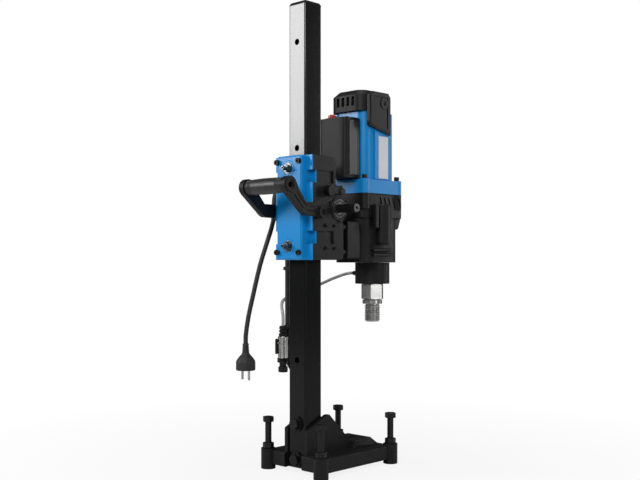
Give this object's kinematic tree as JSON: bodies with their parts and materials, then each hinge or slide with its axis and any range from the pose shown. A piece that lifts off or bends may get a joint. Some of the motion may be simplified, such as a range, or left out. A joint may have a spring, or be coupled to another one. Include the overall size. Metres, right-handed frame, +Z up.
{
  "type": "core drill rig",
  "caption": "Wet core drill on a square column stand with rack-driven carriage, carry handle, ribbed base and levelling bolts.",
  "frame": {"origin": "on the floor, at the middle of the rig's box without its lead, hose and valve", "axes": "+X to the pinion shaft's side, +Y from the column to the drill, +Z up the column"},
  "size_m": [0.236, 0.355, 0.8843],
  "materials": {
    "black_casting": "satin black paint on cast alloy",
    "column_paint": "smooth black coat",
    "black_plastic": "fine texture",
    "black_steel": "black oxide",
    "blue_paint": "gloss blue paint",
    "bronze": "machined bronze",
    "bright_steel": "machined and polished",
    "copper": "varnished winding",
    "rubber": "matte",
    "red_plastic": "gloss",
    "clear_hose": "clear, flexible"
  },
  "bodies": {
    "stand": {"base_casting": "black_casting", "column_tube": "column_paint", "column_cap": "black_plastic", "rack": "black_steel", "column_bolt_lower": "black_steel", "column_bolt_upper": "black_steel", "lock_nut_rear_left": "black_steel", "lock_nut_rear_right": "black_steel", "lock_nut_front_left": "black_steel", "lock_nut_front_right": "black_steel"},
    "levelling_bolt_rear_left_body": {"levelling_bolt_rear_left": "black_steel"},
    "levelling_bolt_rear_right_body": {"levelling_bolt_rear_right": "black_steel"},
    "levelling_bolt_front_left_body": {"levelling_bolt_front_left": "black_steel"},
    "levelling_bolt_front_right_body": {"levelling_bolt_front_right": "black_steel"},
    "carriage": {"bracket_screw_lower": "black_steel", "bracket_screw_upper": "black_steel", "carriage_casting": "black_casting", "control_box": "black_plastic", "control_box_lid": "black_plastic", "field_coil": "copper", "flange_screw_front": "black_steel", "flange_screw_rear": "black_steel", "gearbox_housing": "black_casting", "gib_plate": "bronze", "gib_stud_lower": "bright_steel", "gib_stud_upper": "bright_steel", "handle_arm_left": "black_plastic", "handle_arm_right": "black_plastic", "handle_bolt_left": "black_steel", "handle_bolt_right": "black_steel", "handle_grip": "black_plastic", "lead_hank": "rubber", "lead_tail": "rubber", "mains_lead": "rubber", "mains_plug": "rubber", "motor_bracket": "black_casting", "motor_housing": "blue_paint", "motor_top_cap": "black_plastic", "pinion_bearing_left": "bright_steel", "pinion_bearing_right": "bright_steel", "plate_screw_lower_left": "black_steel", "plate_screw_lower_right": "black_steel", "plate_screw_upper_left": "black_steel", "plate_screw_upper_right": "black_steel", "rear_plate": "blue_paint", "side_cover": "black_plastic", "slide_pad_left": "bronze", "slide_pad_right": "bronze", "strain_relief": "rubber", "valve_body": "bright_steel", "water_collar": "black_casting", "water_hose": "clear_hose"},
    "pinion": {"pinion_shaft": "black_steel"},
    "carriage_lock": {"carriage_lock_lever": "black_steel"},
    "spindle_body": {"spindle": "bright_steel"},
    "idler": {"idler_gear": "bright_steel"},
    "rotor": {"armature": "bright_steel"},
    "button": {"switch_button": "red_plastic"},
    "valve_handle": {"valve_lever": "black_plastic"}
  },
  "joints": [
    {"name": "levelling_rear_left", "type": "slide", "parent": "stand", "child": "levelling_bolt_rear_left_body", "axis": [0, 0, 1], "range_m": [-0.035, 0.02]},
    {"name": "levelling_rear_right", "type": "slide", "parent": "stand", "child": "levelling_bolt_rear_right_body", "axis": [0, 0, 1], "range_m": [-0.035, 0.02]},
    {"name": "levelling_front_left", "type": "slide", "parent": "stand", "child": "levelling_bolt_front_left_body", "axis": [0, 0, 1], "range_m": [-0.035, 0.02]},
    {"name": "levelling_front_right", "type": "slide", "parent": "stand", "child": "levelling_bolt_front_right_body", "axis": [0, 0, 1], "range_m": [-0.035, 0.02]},
    {"name": "carriage_slide", "type": "slide", "parent": "stand", "child": "carriage", "axis": [0, 0, 1], "range_m": [-0.27, 0.27]},
    {"name": "pinion_turn", "type": "hinge", "parent": "carriage", "child": "pinion", "pos_m": [-0.0045, -0.02201, 0.496], "axis": [1, 0, 0], "range_deg": [-1300, 1300]},
    {"name": "carriage_lock_turn", "type": "hinge", "parent": "carriage", "child": "carriage_lock", "pos_m": [0.0455, -0.05351, 0.528], "axis": [1, 0, 0], "range_deg": [0, 75]},
    {"name": "spindle_turn", "type": "hinge", "parent": "carriage", "child": "spindle_body", "pos_m": [-0.0045, 0.13049, 0.33], "axis": [0, 0, 1], "continuous": true},
    {"name": "idler_turn", "type": "hinge", "parent": "carriage", "child": "idler", "pos_m": [-0.02761, 0.108, 0.5], "axis": [0, 0, 1], "continuous": true},
    {"name": "rotor_turn", "type": "hinge", "parent": "carriage", "child": "rotor", "pos_m": [-0.0045, 0.10549, 0.6], "axis": [0, 0, 1], "continuous": true},
    {"name": "button_press", "type": "slide", "parent": "carriage", "child": "button", "axis": [0, 0, -1], "range_m": [0, 0.003], "stiffness_N_per_m": 300, "springref_m": -0.002},
    {"name": "valve_turn", "type": "hinge", "parent": "carriage", "child": "valve_handle", "pos_m": [-0.1123, -0.03531, 0.227], "axis": [-0.7071, -0.7071, 0], "range_deg": [0, 90]}
  ],
  "couplings": [
    {"joint": "pinion_turn", "follows": "carriage_slide", "rad_per_m": 83.333},
    {"joint": "idler_turn", "follows": "spindle_turn", "ratio": -2.9091},
    {"joint": "rotor_turn", "follows": "spindle_turn", "ratio": 7.1111}
  ]
}
